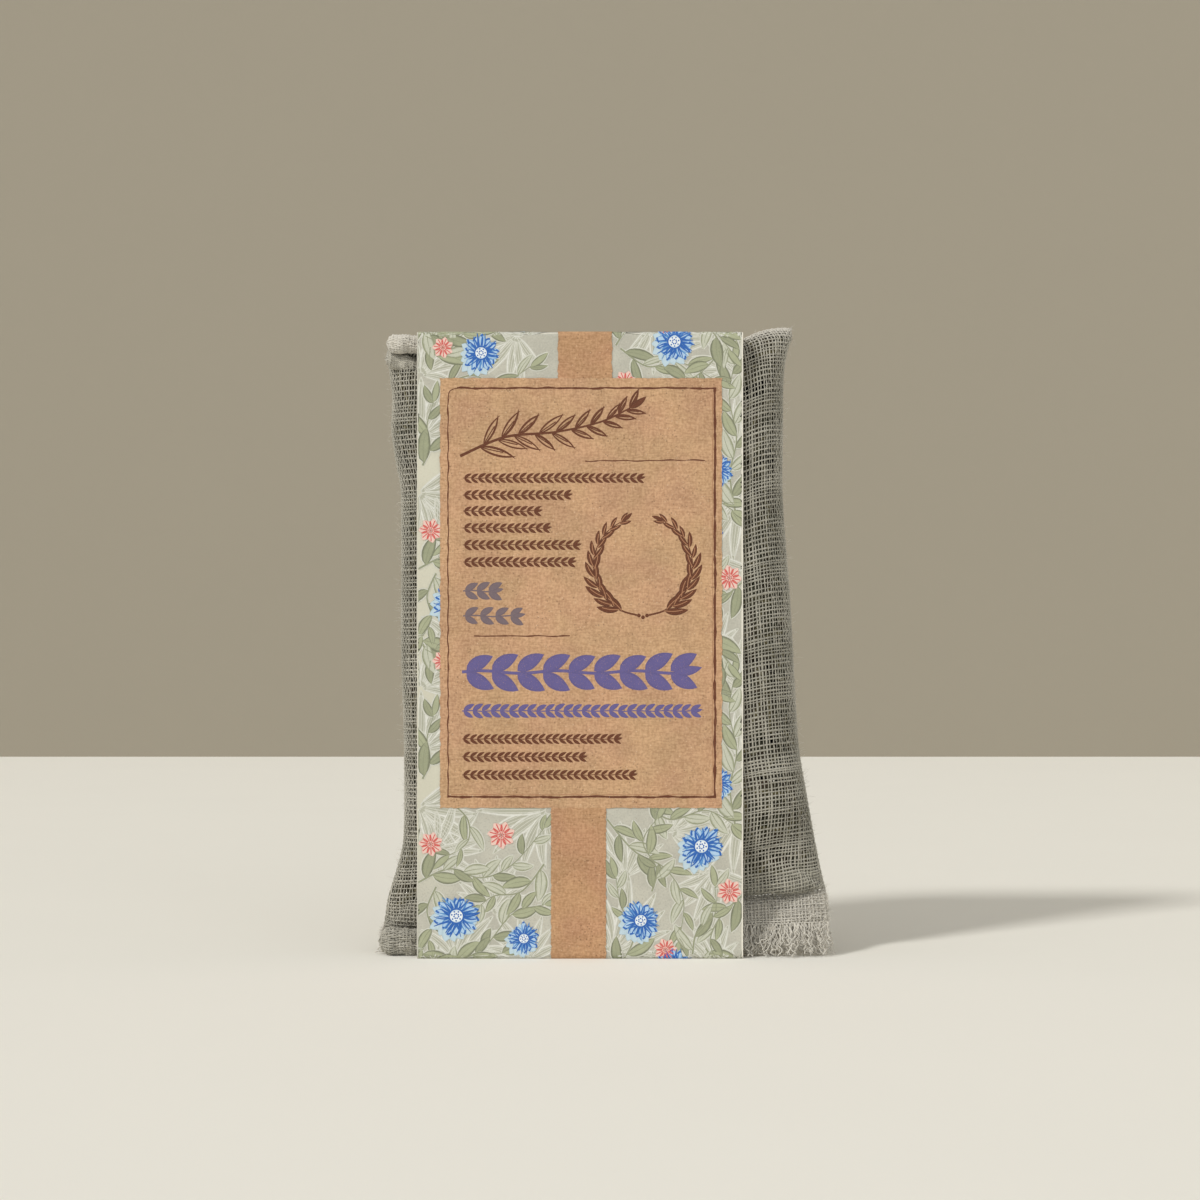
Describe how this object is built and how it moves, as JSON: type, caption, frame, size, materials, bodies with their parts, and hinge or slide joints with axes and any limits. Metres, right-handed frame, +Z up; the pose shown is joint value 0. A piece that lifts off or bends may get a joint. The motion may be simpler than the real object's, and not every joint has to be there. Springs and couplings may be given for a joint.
{
  "type": "scented sachet",
  "caption": "Gauze pouch of dried bay leaves standing in a printed card sleeve that it slides out of sideways.",
  "frame": {"origin": "centre of the sleeve's underside", "axes": "+Z up along the sleeve's height, -Y out of the printed front, +X towards the side that the pouch slides out of"},
  "size_m": [0.1007, 0.024, 0.141],
  "materials": {
    "printed_card": "matt",
    "tape": "satin",
    "gauze": "matt",
    "thread": "matt",
    "bay_leaf": "satin"
  },
  "bodies": {
    "sleeve": {"card_sleeve": "printed_card", "lap_tape": "tape"},
    "pouch": {"pouch_front_cloth": "gauze", "pouch_back_cloth": "gauze", "left_seam_thread": "thread", "right_seam_thread": "thread", "top_seam_thread": "thread", "closing_needle_thread": "thread", "closing_bobbin_thread": "thread", "bay_leaf_01": "bay_leaf", "bay_leaf_02": "bay_leaf", "bay_leaf_03": "bay_leaf", "bay_leaf_04": "bay_leaf", "bay_leaf_05": "bay_leaf", "bay_leaf_06": "bay_leaf", "bay_leaf_07": "bay_leaf", "bay_leaf_08": "bay_leaf", "bay_leaf_09": "bay_leaf", "bay_leaf_10": "bay_leaf", "bay_leaf_11": "bay_leaf", "bay_leaf_12": "bay_leaf", "bay_leaf_13": "bay_leaf", "bay_leaf_14": "bay_leaf", "bay_leaf_15": "bay_leaf", "bay_leaf_16": "bay_leaf", "bay_leaf_17": "bay_leaf", "bay_leaf_18": "bay_leaf", "bay_leaf_19": "bay_leaf", "bay_leaf_20": "bay_leaf", "bay_leaf_21": "bay_leaf", "bay_leaf_22": "bay_leaf", "bay_leaf_23": "bay_leaf", "bay_leaf_24": "bay_leaf", "bay_leaf_25": "bay_leaf", "bay_leaf_26": "bay_leaf", "bay_leaf_27": "bay_leaf", "bay_leaf_28": "bay_leaf"}
  },
  "joints": [
    {"name": "pouch_slide", "type": "slide", "parent": "sleeve", "child": "pouch", "axis": [1, 0, 0], "range_m": [0, 0.09]}
  ]
}
